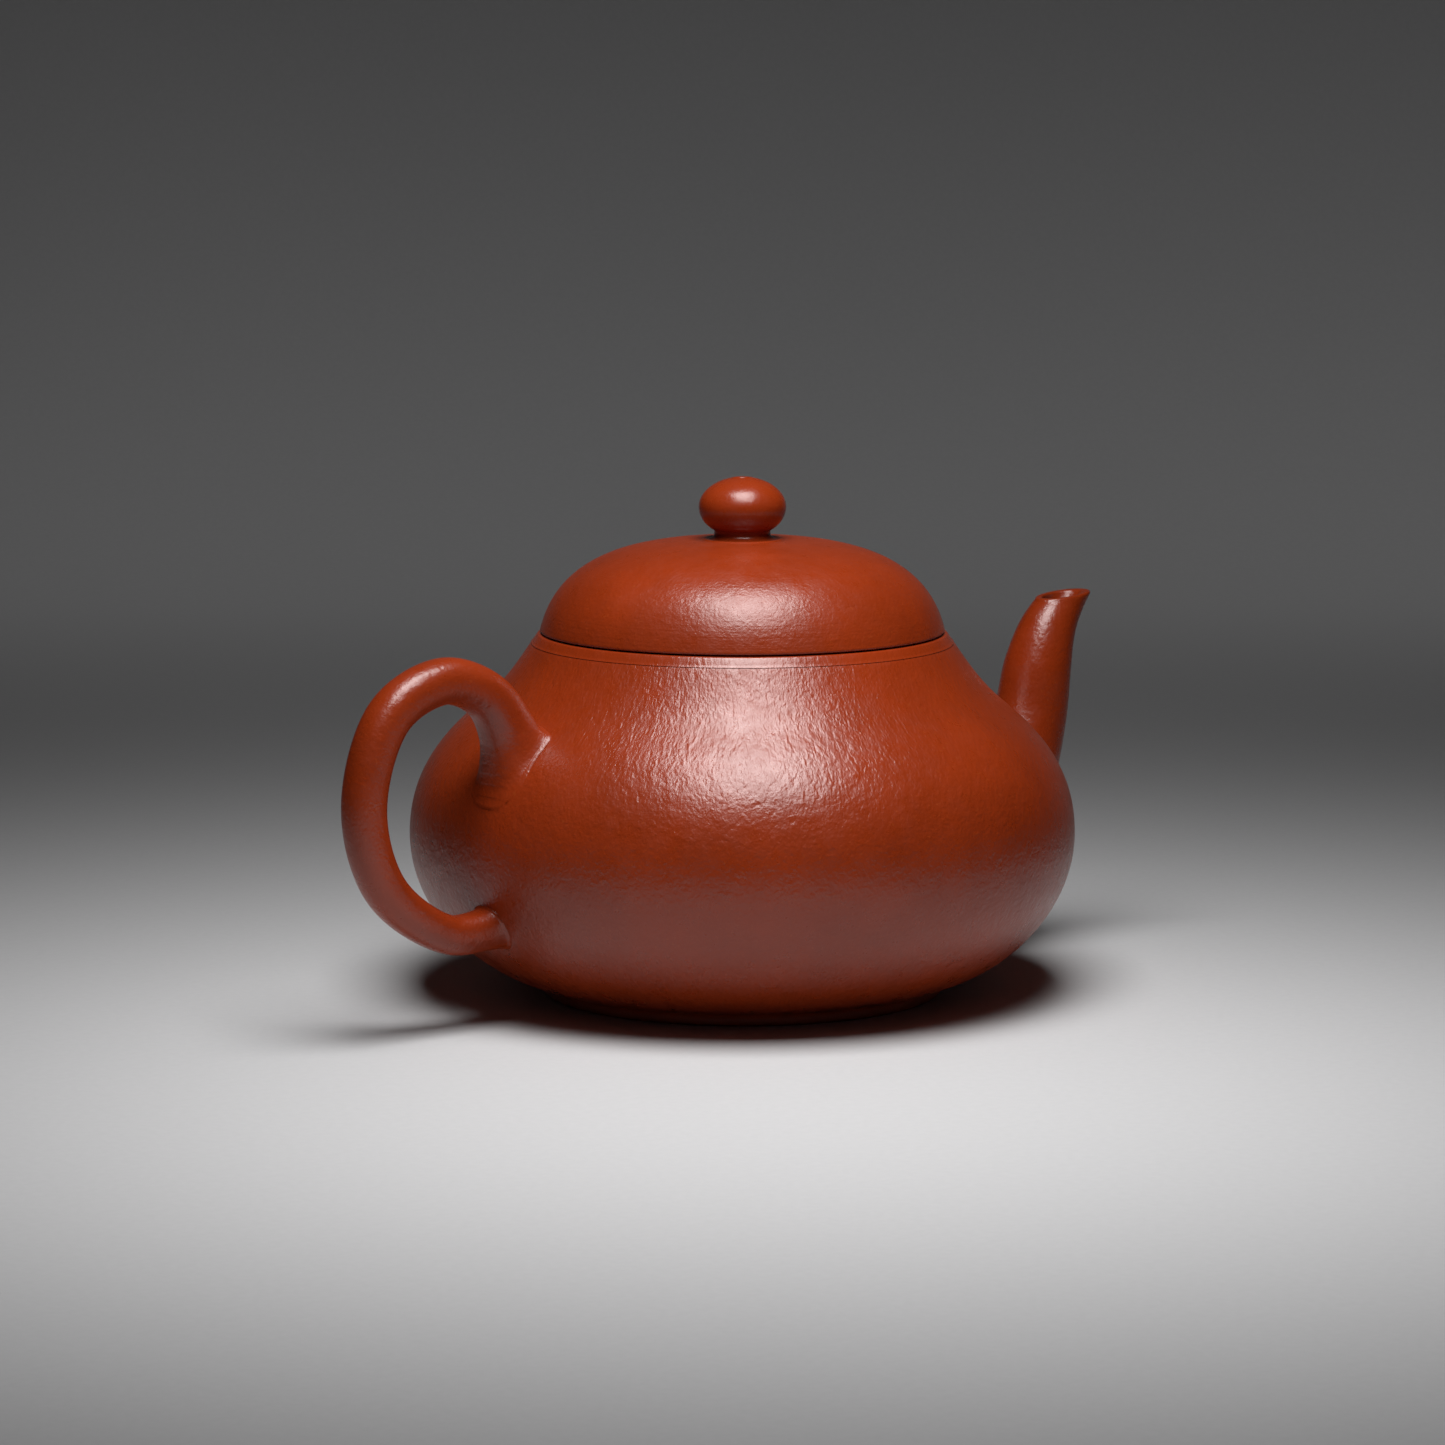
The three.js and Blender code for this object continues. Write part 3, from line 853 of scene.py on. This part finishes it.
body_clay = clay("crepe_clay", RED, 0.3, 1.7, 0.35, turned_form=True, marks=0.25)
lid_clay = clay("fine_crepe_clay", RED, 0.31, 1.0, 0.33, marks=1.0)
knob_clay = clay("knob_clay", RED, 0.27, 0.4, 0.45)
handle_clay = clay("handle_clay", RED, 0.3, 0.9, 0.42)
spout_clay = clay("spout_clay", RED, 0.27, 0.8, 0.5)
band_clay = clay("mouth_band_clay", RED, 0.26, 0.7, 0.45, turned_form=True, marks=0.6)
foot_clay = clay("foot_clay", RED, 0.34, 0.5, 0.5, turned_form=True, marks=1.0)
slab_clay = clay("bare_slab_clay", BARE, 0.62, 0.7, 0.6, grain=2.2, marks=1.2)
inner_clay = clay("bare_lid_clay", BARE, 0.56, 0.5, 0.5, grain=1.8, marks=1.6)
ball_clay = clay("strainer_clay", BARE, 0.6, 0.6, 0.45, grain=2.0)


# ---------------------------------------------------------------- placing the pieces


def place(piece, node, body, slot, material):
    """Stands a piece on the turning axis, in its clay, in the place of a CAD node."""
    piece.location.x = AXIS_X * MM
    piece.data.materials.clear()
    piece.data.materials.append(material)
    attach(piece, body)
    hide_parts(node)


place(body_wall(), "body_wall", "pot", "burnished_clay", body_clay)
place(base_disc(), "base_disc", "pot", "bare_clay", slab_clay)
place(foot_ring(), "foot_ring", "pot", "burnished_clay", foot_clay)
place(top_disc(), "top_disc", "pot", "bare_clay", slab_clay)
place(mouth_ring(), "mouth_ring", "pot", "burnished_clay", band_clay)
place(spout(), "spout", "pot", "burnished_clay", spout_clay)
place(ball_strainer(), "ball_strainer", "pot", "bare_clay", ball_clay)
place(handle(), "handle", "pot", "burnished_clay", handle_clay)
place(lid_dome(), "lid_dome", "lid", "burnished_clay", lid_clay)
place(lid_seat_ring(), "lid_seat_ring", "lid", "bare_clay", inner_clay)
place(lid_flange(), "lid_flange", "lid", "bare_clay", inner_clay)
place(knob(), "knob", "lid", "burnished_clay", knob_clay)


# ---------------------------------------------------------------- stage, light and camera

VIEW_TURN = math.radians(40)  # how far the camera stands behind the handle, off the pot's side
VIEW_PITCH = math.radians(7.96)  # how far it looks down
VIEW_FROM = (-2.47, -640, 123.1)  # right of the turning axis, beyond it, and up
LENS = 129.3
RIGHT = Vector((math.cos(VIEW_TURN), -math.sin(VIEW_TURN), 0))
AWAY = Vector((math.sin(VIEW_TURN), math.cos(VIEW_TURN), 0))


def studio_point(right, away, up):
    """A place given as the camera sees it: right of the turning axis, beyond it, and up, in mm."""
    return (RIGHT * right + AWAY * away + Vector((AXIS_X, 0, up))) * MM


def sweep():
    """A pale floor that curves up into a backdrop well behind the pot."""
    half_width, front, turn_at, turn_r, top = 2500, -2500, 400, 260, 1500
    profile = [(front, 0), (turn_at, 0)]
    for angle in np.linspace(0, math.pi / 2, 33)[1:]:
        profile.append((turn_at + turn_r * math.sin(angle), turn_r * (1 - math.cos(angle))))
    profile.append((turn_at + turn_r, top))
    points = []
    for away, up in profile:
        for side in (-half_width, half_width):
            points.append(tuple(studio_point(side, away, up) / MM))
    ground = mesh_object("floor", points, grid_faces(len(profile), 2, False, False))
    material = bpy.data.materials.new("pale_floor")
    nodes = NodeTree(material)
    at = nodes.add("ShaderNodeTexCoord").outputs["Object"]
    fleck = nodes.remap(nodes.noise(at, 900, 2, 0.5), 0.3, 0.7, 0.97, 1.0)
    tone = nodes.mix_colour(fleck, (0, 0, 0, 1), (0.59, 0.587, 0.592, 1))
    shader = nodes.add("ShaderNodeBsdfPrincipled", {"Base Color": tone, "Roughness": 0.75})
    shader.inputs["Specular IOR Level"].default_value = 0.2
    nodes.add("ShaderNodeOutputMaterial", {"Surface": shader.outputs["BSDF"]})
    ground.data.materials.append(material)


def softbox(name, place, aim, width, depth, watts, beam):
    """A rectangular lamp with a beam narrowed to a number of degrees, facing a point."""
    light = bpy.data.lights.new(name, "AREA")
    light.shape = "RECTANGLE"
    light.size = width * MM
    light.size_y = depth * MM
    light.energy = watts
    light.spread = math.radians(beam)
    lamp = bpy.data.objects.new(name, light)
    lamp.location = place
    lamp.rotation_mode = "QUATERNION"
    lamp.rotation_quaternion = (aim - place).to_track_quat("-Z", "Y")
    bpy.context.collection.objects.link(lamp)


def camera():
    data = bpy.data.cameras.new("camera")
    data.sensor_width = 36
    data.lens = LENS
    data.clip_start = 0.05
    data.clip_end = 60
    eye = bpy.data.objects.new("camera", data)
    eye.location = studio_point(*VIEW_FROM)
    forward = AWAY * math.cos(VIEW_PITCH) - Vector((0, 0, math.sin(VIEW_PITCH)))
    eye.rotation_mode = "QUATERNION"
    eye.rotation_quaternion = forward.to_track_quat("-Z", "Y")
    bpy.context.collection.objects.link(eye)
    bpy.context.scene.camera = eye


def world():
    sky = bpy.data.worlds.new("studio")
    bpy.context.scene.world = sky
    sky.use_nodes = True
    back = sky.node_tree.nodes["Background"]
    back.inputs["Color"].default_value = (0.005, 0.005, 0.0052, 1)
    back.inputs["Strength"].default_value = 1


sweep()
softbox("overhead", studio_point(8, -84, 226), studio_point(4, -48, 0), 124, 150, 0.275, 108)
softbox("backdrop", studio_point(90, 440, 560), studio_point(90, 475, 0), 820, 420, 0.16, 56)
world()
camera()
bpy.context.scene.view_settings.view_transform = "Standard"
